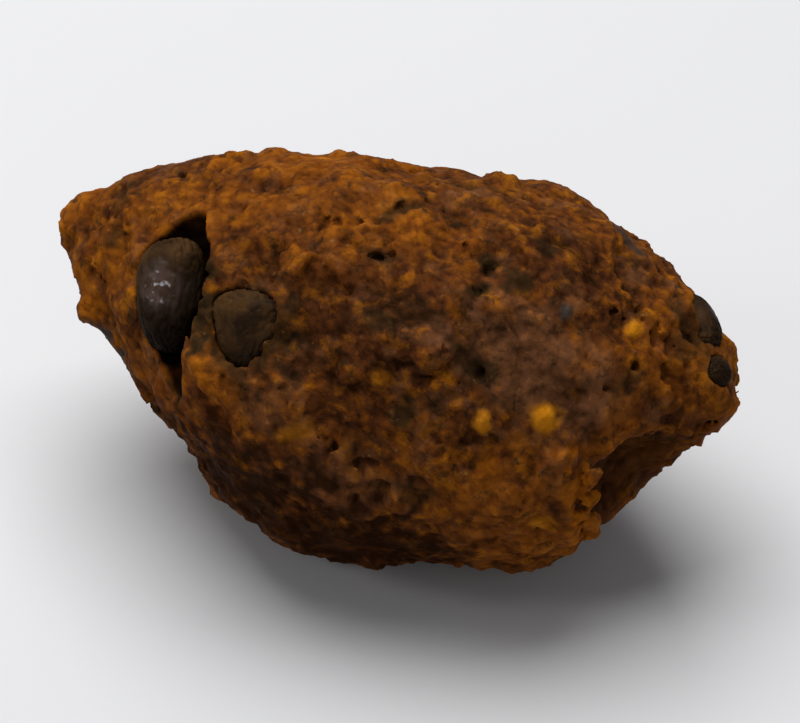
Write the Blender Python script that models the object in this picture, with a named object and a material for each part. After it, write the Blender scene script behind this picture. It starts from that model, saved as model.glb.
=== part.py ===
"""One fried falafel, lying on its side, with the black beans that show in its crust.

Coarse dough is pressed to a blunt lemon shape, full in the belly, with a ragged crag low on its front and
a knob at its right end. +X runs along it from the left tip to the right, the front faces -Y, and it rests
on a small flat spot at Z = 0. "Around" is an angle about the length: 0 at the top, 90 degrees at the front.
"""

import math
import random

import bmesh
import bpy
from mathutils import Matrix, Vector, noise

# The dough, in metres
LENGTH = 0.0575
THICKNESS = 0.0330
BELLY_X = -0.0026
LEFT_TIP_RADIUS = 0.0037
RIGHT_TIP_RADIUS = 0.0018
TIP_ROUNDING = 0.0022
LEFT_FULLNESS = 1.0
RIGHT_FULLNESS = 1.65
LEFT_TIP_LIFT = 0.00265
RIGHT_TIP_LIFT = 0.0036
LIFT_TURN = math.radians(-43)
LEFT_FACE_LEAN = 0.6
FLAT_SPOT_DEPTH = 0.0007

# Middle of the finished outline, which becomes the origin
MIDDLE_X = -0.00056
MIDDLE_Y = 0.00007

# Lumps of the dough: how wide and how high each size is
LUMPS = ((0.0120, 0.0011), (0.0056, 0.0007), (0.0029, 0.0005))
LUMPS_SEED = Vector((3.7, 1.9, 8.2))

# Mesh: rings along the dough, points in each, and where along a half the tip's rounding begins
RINGS = 44
RING_POINTS = 68
ROUNDING_START = 0.86

# Beans: place on the crust, turn of the long axis, size, depth of the middle, bend, and taper to one end
BEAN_GAP = 0.0003
BEAN_FULLNESS = 2.8
BEANS = {
    "bean_whole": {
        "x": -0.0177, "around": 44, "turn": -80, "size": (0.0098, 0.0056, 0.0056), "depth": 0.0020,
        "bend": -0.04, "taper": 0.16,
    },
    "bean_split": {
        "x": -0.0092, "around": 47, "turn": -84, "size": (0.0068, 0.0062, 0.0036), "depth": 0.0012,
        "bend": 0.0, "taper": 0.42,
    },
    "bean_end": {
        "x": 0.0250, "around": -35, "turn": -38, "size": (0.0062, 0.0034, 0.0034), "depth": 0.0010,
        "bend": 0.08, "taper": 0.0,
    },
    "bean_tip": {
        "x": 0.0274, "around": 18, "turn": 0, "size": (0.0028, 0.0026, 0.0026), "depth": 0.0006,
        "bend": 0.0, "taper": 0.0,
    },
}

# Hollows: the gap above the whole bean, the cleft below it, the dish round the split bean, and the space
# behind the crag's broken edge
HOLLOWS = (
    {"x": -0.0163, "around": 39, "turn": -82, "size": (0.0122, 0.0066, 0.0062), "proud": 0.0015},
    {"x": -0.0158, "around": 64, "turn": -70, "size": (0.0070, 0.0038, 0.0050), "proud": 0.0012},
    {"x": -0.0091, "around": 47, "turn": -84, "size": (0.0084, 0.0078, 0.0040), "proud": 0.0034},
    {"x": 0.0210, "around": 113, "turn": 94, "size": (0.0108, 0.0062, 0.0046), "proud": 0.0022},
    {"x": 0.0232, "around": 125, "turn": 94, "size": (0.0152, 0.0100, 0.0080), "proud": 0.0042},
)

# Large pieces of crust that stand out of the dough
CRAGS = (
    {"x": 0.0150, "around": 108, "turn": 90, "size": (0.0180, 0.0112, 0.0070), "proud": 0.0013},
    {"x": 0.0182, "around": 104, "turn": 91, "size": (0.0140, 0.0046, 0.0050), "proud": 0.0013},
    {"x": -0.0114, "around": 63, "turn": -38, "size": (0.0062, 0.0024, 0.0030), "proud": 0.0011},
    {"x": 0.0280, "around": 80, "turn": 90, "size": (0.0052, 0.0044, 0.0046), "proud": 0.0012},
    {"x": -0.0271, "around": 92, "turn": 0, "size": (0.0036, 0.0032, 0.0032), "proud": 0.0014},
    {"x": -0.0268, "around": -24, "turn": 0, "size": (0.0050, 0.0048, 0.0038), "proud": 0.0005},
    {"x": -0.0205, "around": -24, "turn": -4, "size": (0.0110, 0.0062, 0.0044), "proud": 0.0006},
    {"x": 0.0010, "around": -46, "turn": 0, "size": (0.0130, 0.0064, 0.0044), "proud": 0.0007},
)

# Small crumbs, scattered over the whole crust
CRUMBS = 72
CRUMB_SEED = 11
CRUMB_LENGTH = (0.0022, 0.0048)
CRUMB_PROUD = (0.0003, 0.0008)
CRUMB_REACH = 0.0245
FLAT_SPOT_CLEARANCE = 35

DOUGH_COLOUR = (0.075, 0.026, 0.006)
BEAN_COLOUR = (0.020, 0.010, 0.006)


def half_length(side):
    """From the thickest section to the left tip (side -1) or the right tip (side 1)."""
    return LENGTH / 2 - side * BELLY_X


def ends(side):
    """Radius of the blunt tip on one side, and how full the form stays on its way there."""
    return (LEFT_TIP_RADIUS, LEFT_FULLNESS) if side < 0 else (RIGHT_TIP_RADIUS, RIGHT_FULLNESS)


def section(run, side):
    """How far a section lies from the thickest one, and its radius; run is 0 there and 1 at the tip."""
    half = half_length(side)
    tip_radius, fullness = ends(side)
    straight = half - TIP_ROUNDING
    turn = max(0.0, run - ROUNDING_START) / (1 - ROUNDING_START) * math.pi / 2
    reach = straight * min(run, ROUNDING_START) / ROUNDING_START + TIP_ROUNDING * math.sin(turn)
    bend = math.acos(tip_radius / (THICKNESS / 2))
    radius = THICKNESS / 2 * math.cos(bend * (reach / half) ** fullness) * math.cos(turn)
    return reach, radius


def form_point(along, around):
    """A point of the smooth form; along runs from -1 at the left tip to 1 at the right."""
    side = -1 if along < 0 else 1
    reach, radius = section(abs(along), side)
    share = (reach / half_length(side)) ** 2
    lift = share * (LEFT_TIP_LIFT if side < 0 else RIGHT_TIP_LIFT)
    lean = share * LEFT_FACE_LEAN * radius * math.cos(around - LIFT_TURN) if side < 0 else 0.0
    return Vector((
        BELLY_X + side * reach - lean,
        -lift * math.sin(LIFT_TURN) - radius * math.sin(around),
        THICKNESS / 2 - FLAT_SPOT_DEPTH + lift * math.cos(LIFT_TURN) + radius * math.cos(around),
    ))


def outward(along, around):
    """The direction square to the smooth form."""
    step = 0.01
    inner = min(max(along, -1 + 2 * step), 1 - 2 * step)
    lengthways = form_point(inner + step, around) - form_point(inner - step, around)
    crossways = form_point(inner, around + step) - form_point(inner, around - step)
    return crossways.cross(lengthways).normalized()


def relief(point):
    """How far the lumps lift the crust at a point of the smooth form."""
    return sum(height * noise.noise(point / width + LUMPS_SEED) for width, height in LUMPS)


def crust_point(along, around):
    """A point of the lumpy crust."""
    point = form_point(along, around)
    return point + outward(along, around) * relief(point)


def along_at(x):
    """The value of along for a distance x from the middle of the length."""
    side = -1 if x < BELLY_X else 1
    reach = abs(x - BELLY_X)
    straight = half_length(side) - TIP_ROUNDING
    into_tip = math.asin(max(0.0, reach - straight) / TIP_ROUNDING) / (math.pi / 2)
    return side * (ROUNDING_START * min(reach / straight, 1.0) + (1 - ROUNDING_START) * into_tip)


def seat(x, around, turn):
    """A frame on the crust: its X runs along the dough, turned by 'turn' degrees, and its Z points out."""
    along = along_at(x)
    angle = math.radians(around)
    out = outward(along, angle)
    across = out.cross(Vector((1, 0, 0))).normalized()
    frame = Matrix((across.cross(out), across, out)).transposed().to_4x4()
    frame.translation = crust_point(along, angle)
    return frame @ Matrix.Rotation(math.radians(turn), 4, "Z")


def material(name, colour, roughness):
    """A plain material of one colour."""
    made = bpy.data.materials.new(name)
    made.use_nodes = True
    shader = made.node_tree.nodes["Principled BSDF"]
    shader.inputs["Base Color"].default_value = (*colour, 1)
    shader.inputs["Roughness"].default_value = roughness
    shader.inputs["Metallic"].default_value = 0.0
    return made


def object_from(bm, name, collection=None):
    """Turns a bmesh into a smooth-shaded object."""
    mesh = bpy.data.meshes.new(name)
    bm.to_mesh(mesh)
    bm.free()
    mesh.shade_smooth()
    made = bpy.data.objects.new(name, mesh)
    (collection or bpy.context.scene.collection).objects.link(made)
    return made


def dough():
    """The body of the falafel: rings lofted from tip to tip."""
    bm = bmesh.new()
    rings = []
    for ring in range(1, RINGS):
        along = 2 * ring / RINGS - 1
        turns = [2 * math.pi * step / RING_POINTS for step in range(RING_POINTS)]
        rings.append([bm.verts.new(crust_point(along, turn)) for turn in turns])
    left_tip = bm.verts.new(form_point(-1, 0))
    right_tip = bm.verts.new(form_point(1, 0))
    for step in range(RING_POINTS):
        after = (step + 1) % RING_POINTS
        bm.faces.new((left_tip, rings[0][after], rings[0][step]))
        bm.faces.new((right_tip, rings[-1][step], rings[-1][after]))
        for ring, following in zip(rings, rings[1:]):
            bm.faces.new((ring[step], ring[after], following[after], following[step]))
    bmesh.ops.recalc_face_normals(bm, faces=bm.faces)
    return object_from(bm, "falafel")


def crumb(place, size, proud, finer, seed, collection):
    """A rough lump of crust, sunk until it stands 'proud' out of the dough."""
    bm = bmesh.new()
    bmesh.ops.create_icosphere(bm, subdivisions=2 if finer else 1, radius=0.5)
    for vertex in bm.verts:
        vertex.co *= 1 + 0.22 * noise.noise(vertex.co * 3.1 + Vector((seed, 0, 0)))
    sunk = Matrix.Translation((0, 0, proud - size[2] / 2))
    bmesh.ops.transform(bm, matrix=place @ sunk @ Matrix.Diagonal((*size, 1)), verts=bm.verts)
    return object_from(bm, f"crumb_{seed}", collection)


def scattered_crumbs():
    """Where the small crumbs lie, how large they are and how far they stand out."""
    draw = random.Random(CRUMB_SEED)
    crumbs = []
    while len(crumbs) < CRUMBS:
        x = draw.uniform(-CRUMB_REACH, CRUMB_REACH)
        around = draw.uniform(-180, 180)
        length = draw.uniform(*CRUMB_LENGTH)
        shape = (length, length * draw.uniform(0.55, 0.9), length * 0.6)
        proud = draw.uniform(*CRUMB_PROUD)
        turn = draw.uniform(0, 180)
        if abs(around) < 180 - FLAT_SPOT_CLEARANCE:
            crumbs.append({"x": x, "around": around, "turn": turn, "size": shape, "proud": proud})
    return crumbs


def bean_shape(spec, gap=0.0):
    """A bean in its seat: blunt-ended, bent and tapered along its length, grown all round by the gap."""
    bm = bmesh.new()
    bmesh.ops.create_uvsphere(bm, u_segments=18, v_segments=12, radius=0.5)
    bmesh.ops.rotate(bm, verts=bm.verts, matrix=Matrix.Rotation(math.pi / 2, 3, "Y"))
    length, width, height = (side + 2 * gap for side in spec["size"])
    for vertex in bm.verts:
        along = max(-0.999, min(vertex.co.x * 2, 0.999))
        fuller = math.sqrt((1 - abs(along) ** BEAN_FULLNESS) / (1 - along ** 2)) * (1 - spec["taper"] * along)
        bend = spec["bend"] * spec["size"][0] * (0.5 - along ** 2)
        sides = vertex.co.y * width * fuller, vertex.co.z * height * fuller
        vertex.co = Vector((vertex.co.x * length, sides[0] + bend, sides[1]))
    sunk = Matrix.Translation((0, 0, -spec["depth"]))
    place = seat(spec["x"], spec["around"], spec["turn"])
    bmesh.ops.transform(bm, matrix=place @ sunk, verts=bm.verts)
    return bm


def combine(target, collection, operation):
    """Joins or cuts the target with every object of a collection, then removes them."""
    modifier = target.modifiers.new(operation.lower(), "BOOLEAN")
    modifier.operation = operation
    modifier.operand_type = "COLLECTION"
    modifier.collection = collection
    modifier.solver = "EXACT"
    graph = bpy.context.evaluated_depsgraph_get()
    combined = bpy.data.meshes.new_from_object(target.evaluated_get(graph))
    target.modifiers.remove(modifier)
    target.data = combined
    for helper in list(collection.objects):
        bpy.data.objects.remove(helper)
    bpy.data.collections.remove(collection)


def new_collection(name):
    """An empty collection in the scene."""
    made = bpy.data.collections.new(name)
    bpy.context.scene.collection.children.link(made)
    return made


def drop_scraps(target):
    """Keeps the main body alone, without crumbs that the cuts have left loose."""
    bm = bmesh.new()
    bm.from_mesh(target.data)
    unseen = set(bm.verts)
    bodies = []
    while unseen:
        body = [unseen.pop()]
        for vertex in body:
            joined = {edge.other_vert(vertex) for edge in vertex.link_edges} & unseen
            unseen -= joined
            body.extend(joined)
        bodies.append(body)
    bodies.sort(key=len)
    loose = [vertex for body in bodies[:-1] for vertex in body]
    bmesh.ops.delete(bm, geom=loose, context="VERTS")
    bm.to_mesh(target.data)
    bm.free()


def cut_flat_spot(target):
    """Slices the crust off at Z = 0, so that the falafel rests without rolling."""
    bm = bmesh.new()
    bm.from_mesh(target.data)
    whole = bm.verts[:] + bm.edges[:] + bm.faces[:]
    cut = bmesh.ops.bisect_plane(bm, geom=whole, plane_co=(0, 0, 0), plane_no=(0, 0, -1), clear_outer=True)
    rim = [edge for edge in cut["geom_cut"] if isinstance(edge, bmesh.types.BMEdge)]
    bmesh.ops.holes_fill(bm, edges=rim)
    bmesh.ops.triangulate(bm, faces=bm.faces)
    bmesh.ops.recalc_face_normals(bm, faces=bm.faces)
    bm.to_mesh(target.data)
    bm.free()


def falafel():
    """The dough with its crags and crumbs fused on, its bean sockets and hollows cut, and its flat spot."""
    body = dough()
    additions = new_collection("additions")
    for number, spec in enumerate([*CRAGS, *scattered_crumbs()]):
        place = seat(spec["x"], spec["around"], spec["turn"])
        crumb(place, spec["size"], spec["proud"], number < len(CRAGS), number, additions)
    combine(body, additions, "UNION")
    cutters = new_collection("cutters")
    for name, spec in BEANS.items():
        object_from(bean_shape(spec, BEAN_GAP), f"{name}_socket", cutters)
    for number, spec in enumerate(HOLLOWS):
        place = seat(spec["x"], spec["around"], spec["turn"])
        hollow = crumb(place, spec["size"], spec["proud"], True, number, cutters)
        hollow.name = f"hollow_{number}"
    combine(body, cutters, "DIFFERENCE")
    drop_scraps(body)
    cut_flat_spot(body)
    body.data.shade_smooth()
    body.data.set_sharp_from_angle(angle=math.radians(50))
    return body


def build():
    """Clears the scene and models the falafel and its beans."""
    for leftover in list(bpy.data.objects):
        bpy.data.objects.remove(leftover)
    body = falafel()
    body.data.materials.clear()
    body.data.materials.append(material("crust", DOUGH_COLOUR, 0.6))
    for name, spec in BEANS.items():
        bean = object_from(bean_shape(spec), name)
        bean.data.materials.append(material(name, BEAN_COLOUR, 0.3))
    for piece in bpy.context.scene.collection.objects:
        piece.data.transform(Matrix.Translation((-MIDDLE_X, -MIDDLE_Y, 0)))


build()
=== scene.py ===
"""The looks of one fried falafel: a craggy crust, wrinkled black beans, a pale floor and soft light.

The crust starts from the same blunt lemon form as the solids. It is turned into signed distances on a fine
lattice, crumbs, flakes and pits are added there as true shapes, and the surface is then meshed again.
"""

import math
import random

import bmesh
import bpy
import numpy as np
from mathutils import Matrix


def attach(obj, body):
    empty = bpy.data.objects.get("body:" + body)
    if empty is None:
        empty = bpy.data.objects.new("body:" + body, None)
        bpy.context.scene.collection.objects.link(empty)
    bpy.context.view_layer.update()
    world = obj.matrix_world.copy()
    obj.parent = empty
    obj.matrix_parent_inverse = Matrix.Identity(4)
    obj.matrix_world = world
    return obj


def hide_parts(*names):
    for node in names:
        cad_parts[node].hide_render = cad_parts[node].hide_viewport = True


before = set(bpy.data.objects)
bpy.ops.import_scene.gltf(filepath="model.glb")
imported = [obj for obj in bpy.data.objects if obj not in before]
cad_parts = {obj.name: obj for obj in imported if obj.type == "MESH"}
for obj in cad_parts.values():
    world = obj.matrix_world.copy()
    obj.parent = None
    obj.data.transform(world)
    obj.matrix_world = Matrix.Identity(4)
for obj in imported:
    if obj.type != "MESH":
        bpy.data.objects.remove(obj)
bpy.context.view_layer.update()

import openvdb
from mathutils import Matrix, Vector, noise

# The dough's form, in metres, as in the solids
LENGTH = 0.0575
THICKNESS = 0.0330
BELLY_X = -0.0026
LEFT_TIP_RADIUS = 0.0037
RIGHT_TIP_RADIUS = 0.0018
TIP_ROUNDING = 0.0022
LEFT_FULLNESS = 1.0
RIGHT_FULLNESS = 1.65
LEFT_TIP_LIFT = 0.00265
RIGHT_TIP_LIFT = 0.0036
LIFT_TURN = math.radians(-43)
LEFT_FACE_LEAN = 0.6
FLAT_SPOT_DEPTH = 0.0007
ROUNDING_START = 0.86

# Middle of the finished outline, which becomes the origin
MIDDLE = Vector((-0.00056, 0.00007, 0.0))

# Lumps of the dough: how wide and how high each size is
LUMPS = ((0.0120, 0.0011), (0.0056, 0.0007), (0.0029, 0.0005))
LUMPS_SEED = Vector((3.7, 1.9, 8.2))

# Beans: how blunt their ends are, then for each its place on the crust, the turn of its long axis, its size,
# the depth of its middle, its bend, and its taper to one end
BEAN_FULLNESS = 2.8
BEANS = {
    "bean_whole": {
        "x": -0.0177, "around": 44, "turn": -80, "size": (0.0098, 0.0056, 0.0056), "depth": 0.0020,
        "bend": -0.04, "taper": 0.16,
    },
    "bean_split": {
        "x": -0.0092, "around": 47, "turn": -84, "size": (0.0068, 0.0062, 0.0036), "depth": 0.0012,
        "bend": 0.0, "taper": 0.42,
    },
    "bean_end": {
        "x": 0.0250, "around": -35, "turn": -38, "size": (0.0062, 0.0034, 0.0034), "depth": 0.0010,
        "bend": 0.08, "taper": 0.0,
    },
    "bean_tip": {
        "x": 0.0274, "around": 18, "turn": 0, "size": (0.0028, 0.0026, 0.0026), "depth": 0.0006,
        "bend": 0.0, "taper": 0.0,
    },
}

# Hollows: the gap above the whole bean, the cleft below it, the dish round the split bean, and the space
# behind the crag's broken edge
HOLLOWS = (
    {"x": -0.0163, "around": 39, "turn": -82, "size": (0.0122, 0.0066, 0.0062), "proud": 0.0015},
    {"x": -0.0158, "around": 64, "turn": -70, "size": (0.0070, 0.0038, 0.0050), "proud": 0.0012},
    {"x": -0.0091, "around": 47, "turn": -84, "size": (0.0084, 0.0078, 0.0040), "proud": 0.0034},
    {"x": 0.0210, "around": 113, "turn": 94, "size": (0.0108, 0.0062, 0.0046), "proud": 0.0022},
    {"x": 0.0232, "around": 125, "turn": 94, "size": (0.0152, 0.0100, 0.0080), "proud": 0.0042},
)

# Large pieces of crust that stand out of the dough
CRAGS = (
    {"x": 0.0150, "around": 108, "turn": 90, "size": (0.0180, 0.0112, 0.0070), "proud": 0.0013},
    {"x": 0.0182, "around": 104, "turn": 91, "size": (0.0140, 0.0046, 0.0050), "proud": 0.0013},
    {"x": -0.0114, "around": 63, "turn": -38, "size": (0.0062, 0.0024, 0.0030), "proud": 0.0011},
    {"x": 0.0280, "around": 80, "turn": 90, "size": (0.0052, 0.0044, 0.0046), "proud": 0.0012},
    {"x": -0.0271, "around": 92, "turn": 0, "size": (0.0036, 0.0032, 0.0032), "proud": 0.0014},
    {"x": -0.0268, "around": -24, "turn": 0, "size": (0.0050, 0.0048, 0.0038), "proud": 0.0005},
    {"x": -0.0205, "around": -24, "turn": -4, "size": (0.0110, 0.0062, 0.0044), "proud": 0.0006},
    {"x": 0.0010, "around": -46, "turn": 0, "size": (0.0130, 0.0064, 0.0044), "proud": 0.0007},
)

# Larger crumbs, scattered over the crust except near the flat spot
CRUMBS = 72
CRUMB_SEED = 11
CRUMB_LENGTH = (0.0022, 0.0048)
CRUMB_PROUD = (0.0003, 0.0008)
CRUMB_REACH = 0.0245
FLAT_SPOT_CLEARANCE = 35

# The lattice, and the rings that are lofted into it
VOXEL = 0.00031
BAND_VOXELS = 9
RINGS = 150
RING_POINTS = 240

# Fine relief: how many small crumbs, flakes of skin and pits there are, and the row along the crag's edge.
# The size of a small crumb or a pit is its least and how much larger it can be, of the others its range.
SMALL_CRUMBS = 460
SMALL_CRUMB_LENGTH = (0.0008, 0.0016)
FLAKES = 36
FLAKE_LENGTH = (0.0014, 0.0030)
FLAKE_THICKNESS = 0.0009
FLAKE_SINK = 0.0002
PITS = 100
PIT_WIDTH = (0.0005, 0.0006)
RIM_CRUMBS = 11
RIM_CRUMB_LENGTH = (0.0011, 0.0021)
RIM_AROUND = (84, 134)
RIM_X = 0.0194
DETAIL_SEED = 5

# How fine the noise on a lump is, how rough each kind of lump is, and the number that its noise starts from
LUMP_NOISE = 3.1
ROUGHNESS = {"crag": 0.22, "crumb": 0.9, "flake": 0.6, "pit": 0.9, "cleft": 0.8, "kernel": 0.15}
SEEDS = {"crumb": 100, "rim": 400, "flake": 700, "pit": 900, "cleft": 1200, "kernel": 1500}

# How softly each kind of shape meets the crust, and how far the crust reaches over the beans' edges
BLEND = 0.00035
CRAG_BLEND = 0.0010
CUT_BLEND = 0.00015
SOCKET_BLEND = 0.0002
HOLLOW_BLENDS = (0.0004, 0.0003, 0.0005, 0.0016, 0.0016)
SOCKET_OVERLAP = 0.00012

# Trimming of fins before and after the grain: their width in voxels and the height that may stay, and how
# far one point of the mesh may stick out
COARSE_TRIM = (2, 0.00022)
FINE_TRIM = (1, 0.00018)
SPIKE = 0.00009

# The grain: packed crumbs, then layers of noise, each with its stretch, width, seed and height
CRUMB_WIDTH = 0.0011
CRUMB_WARP = (0.0021, 0.0008)
CRUMB_EDGE = 0.35
CRUMB_HEIGHT = 0.00023
CRUMB_STEP = 0.00010
GRAIN_LAYERS = (
    ((0.4, 1.0, 1.0), 0.0011, 4.0, 0.00012),
    ((1.0, 1.0, 1.0), 0.0014, 8.0, 0.00022),
    ((1.0, 1.0, 1.0), 0.0007, 6.0, 0.00036),
)
GRAIN_REACH = 0.0016
GRAIN_SWELL = 0.006
TORN_DEPTH = 0.0015

# What the colours read: heights that make a crest, painted lighter, or a hollow, painted with shade, depths
# that are deep, painted with shade, the gaps beside the beans, painted near-black as shade, how thick a
# patch is, and the noise of its ragged edge as widths, seeds and shares
CREST_HEIGHT = 0.00010
HOLLOW_DEPTH = 0.00045
DEEP = (0.0006, 0.0018)
SEAM_WIDTH = 0.25
GAP_HOLLOWS = 2
GAP_INSET = 0.0009
GAP_WIDTH = 0.0012
GAP_DEPTH = 0.0005
PATCH_THICKNESS = 0.003
RAGGED_LAYERS = ((0.0016, 21.0, 1.0), (0.0008, 33.0, 0.5))

# Clefts: place, turn, length and width, and the depth that they share
CLEFT_DEPTH = 0.0014
CLEFTS = (
    (0.0006, 0, 45, 0.0056, 0.0010),
    (-0.0020, 8, 30, 0.0026, 0.0009),
    (0.0008, 17, 0, 0.0026, 0.0010),
    (0.0229, 18, -80, 0.0024, 0.0009),
    (0.0203, 48, 0, 0.0009, 0.0009),
    (0.0221, 36, 0, 0.0008, 0.0009),
    (0.0093, 11, 0, 0.0014, 0.0012),
    (0.0090, 21, 0, 0.0012, 0.0010),
    (0.0109, 47, -60, 0.0018, 0.0010),
    (-0.0151, 74, -80, 0.0030, 0.0012),
)

# Kernels of maize and scraps of bean skin in the crust: place, turn, size, and how far they stand out
KERNELS = (
    {"x": 0.0161, "around": 60, "turn": 20, "size": (0.0027, 0.0020, 0.0016), "proud": 0.0004},
    {"x": 0.0118, "around": 61, "turn": 80, "size": (0.0020, 0.0014, 0.0012), "proud": 0.0003},
    {"x": 0.0212, "around": 15, "turn": 70, "size": (0.0018, 0.0014, 0.0012), "proud": 0.0003},
    {"x": -0.0257, "around": 108, "turn": -12, "size": (0.0056, 0.0024, 0.0018), "proud": 0.0005},
    {"x": 0.0165, "around": -33, "turn": -10, "size": (0.0040, 0.0018, 0.0012), "proud": 0.0004},
    {"x": 0.0162, "around": 21, "turn": -80, "size": (0.0016, 0.0011, 0.0010), "proud": 0.0003},
)

# Beans: how many facets they have round and along, and for each how pale it is at its two ends, 0 for near
# black and 1 for brown, how wet its middle is, with its painted sheen, and how much its skin is wrinkled
BEAN_FACETS = (120, 80)
BEAN_LOOKS = {
    "bean_whole": (0.74, 0.02, 1.0, 1.0),
    "bean_split": (0.74, 0.46, 0.0, 1.5),
    "bean_end": (0.46, 0.32, 0.3, 1.2),
    "bean_tip": (0.36, 0.24, 0.0, 1.6),
}

# Patches of colour: place, turn, length, width and strength
PATCHES = {
    # Painted shade: these patches darken the middle and the lower front of the crust
    "painted_shade": (
        (0.0040, 38, 4, 0.0340, 0.0110, 0.50),
        (-0.0090, 30, 0, 0.0110, 0.0080, 0.55),
        (0.0130, 2, 0, 0.0130, 0.0080, 0.45),
        (-0.0075, 108, 0, 0.0260, 0.0170, 1.0),
        (0.0012, 118, 0, 0.0220, 0.0150, 1.0),
        (0.0250, 112, 80, 0.0140, 0.0090, 0.4),
        (-0.0170, 84, 0, 0.0120, 0.0080, 0.2),
    ),
    "gold": (
        (0.0161, 60, 20, 0.0026, 0.0019, 1.0),
        (0.0118, 61, 80, 0.0018, 0.0013, 0.75),
        (0.0212, 15, 70, 0.0017, 0.0014, 0.8),
        (-0.0030, 72, 30, 0.0024, 0.0012, 0.4),
        (0.0036, 52, 0, 0.0016, 0.0010, 0.35),
        (0.0166, 100, 0, 0.0022, 0.0016, 0.4),
        (-0.0080, -30, 0, 0.0030, 0.0018, 0.5),
        (0.0090, -85, 40, 0.0028, 0.0020, 0.9),
        (-0.0120, -120, 20, 0.0024, 0.0020, 0.8),
        (0.0020, 160, 0, 0.0030, 0.0022, 0.6),
    ),
    "rust": (
        (-0.0112, 62, -40, 0.0062, 0.0026, 0.75),
        (-0.0092, 74, -50, 0.0040, 0.0022, 0.6),
        (0.0282, 78, 90, 0.0060, 0.0050, 0.9),
        (-0.0268, 70, 0, 0.0050, 0.0040, 0.8),
        (-0.0266, -20, 0, 0.0070, 0.0060, 0.7),
        (-0.0225, 30, 0, 0.0060, 0.0070, 0.55),
        (-0.0150, 6, 0, 0.0190, 0.0060, 0.55),
        (0.0000, 4, 0, 0.0200, 0.0060, 0.6),
        (-0.0060, 24, 0, 0.0110, 0.0040, 0.35),
        (0.0190, 104, 90, 0.0150, 0.0036, 1.0),
        (0.0150, 102, 90, 0.0160, 0.0096, 0.75),
        (-0.0165, 86, 0, 0.0080, 0.0060, 0.6),
        (0.0125, 76, 10, 0.0030, 0.0022, 0.9),
        (-0.0080, -24, 0, 0.0170, 0.0090, 0.8),
        (0.0120, 84, 60, 0.0080, 0.0044, 0.5),
        (0.0222, 80, 0, 0.0070, 0.0050, 0.7),
        (0.0215, 68, 60, 0.0070, 0.0030, 0.5),
        (0.0240, 30, 0, 0.0080, 0.0060, 0.45),
        (0.0205, 82, 0, 0.0040, 0.0030, 0.4),
        (0.0120, -70, 20, 0.0160, 0.0080, 0.5),
        (-0.0100, -100, -20, 0.0150, 0.0090, 0.5),
    ),
    # Partly burnt and dark bean-skin spots, partly painted shade in the clefts and hollows
    "char_and_shade": (
        (-0.0215, 112, 10, 0.0070, 0.0022, 0.8),
        (-0.0190, 122, 20, 0.0060, 0.0030, 0.8),
        (-0.0172, 100, 40, 0.0050, 0.0020, 0.6),
        (-0.0152, 70, -70, 0.0060, 0.0026, 0.9),
        (0.0250, 10, 40, 0.0040, 0.0026, 0.6),
        (0.0277, 58, 80, 0.0028, 0.0020, 0.5),
        (-0.0215, -8, 0, 0.0028, 0.0034, 0.55),
        (0.0250, -8, -30, 0.0060, 0.0030, 0.6),
        (0.0040, -24, 0, 0.0050, 0.0020, 0.6),
        (0.0006, 0, 45, 0.0060, 0.0014, 0.8),
        (0.0008, 17, 0, 0.0030, 0.0014, 0.7),
        (0.0093, 11, 0, 0.0022, 0.0018, 1.0),
        (0.0128, -2, 0, 0.0020, 0.0018, 0.9),
        (0.0090, 21, 20, 0.0018, 0.0014, 1.0),
        (0.0118, 15, 0, 0.0028, 0.0018, 0.9),
        (0.0109, 47, 30, 0.0026, 0.0020, 0.9),
        (0.0088, 40, 0, 0.0020, 0.0024, 0.8),
        (0.0058, 61, 20, 0.0034, 0.0024, 0.9),
        (0.0018, 36, 0, 0.0026, 0.0020, 0.7),
        (0.0018, 74, 0, 0.0030, 0.0022, 0.6),
        (0.0050, 30, 20, 0.0060, 0.0030, 0.35),
        (0.0070, 88, 0, 0.0034, 0.0020, 0.6),
        (-0.0060, 96, 20, 0.0060, 0.0040, 0.5),
        (-0.0226, 22, 0, 0.0022, 0.0018, 0.7),
        (-0.0078, 46, -84, 0.0070, 0.0070, 0.8),
        (-0.0060, 46, -50, 0.0040, 0.0022, 0.8),
        (-0.0096, 57, -80, 0.0034, 0.0024, 0.8),
        (-0.0129, 46, -82, 0.0066, 0.0036, 1.0),
        (0.0215, 44, 50, 0.0030, 0.0012, 0.7),
        (-0.0040, -140, 0, 0.0070, 0.0040, 0.7),
        (0.0140, -130, 30, 0.0060, 0.0035, 0.7),
    ),
    "skin": (
        (-0.0257, 109, -12, 0.0060, 0.0026, 1.0),
        (0.0165, -33, -10, 0.0044, 0.0018, 0.9),
        (0.0162, 21, -80, 0.0017, 0.0012, 1.0),
    ),
    "plum": (
        (0.0150, 45, -20, 0.0180, 0.0090, 0.85),
        (0.0205, 52, -20, 0.0060, 0.0036, 0.6),
        (0.0185, 70, 50, 0.0080, 0.0036, 0.6),
        (0.0135, 88, 80, 0.0060, 0.0040, 0.5),
        (0.0150, 102, 90, 0.0130, 0.0084, 0.55),
        (0.0170, 112, 80, 0.0060, 0.0040, 0.6),
        (0.0010, 88, 0, 0.0120, 0.0060, 0.45),
        (-0.0060, 66, 0, 0.0060, 0.0050, 0.5),
        (0.0060, -60, 0, 0.0120, 0.0070, 0.5),
        (-0.0140, -70, 0, 0.0090, 0.0060, 0.5),
    ),
}

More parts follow.
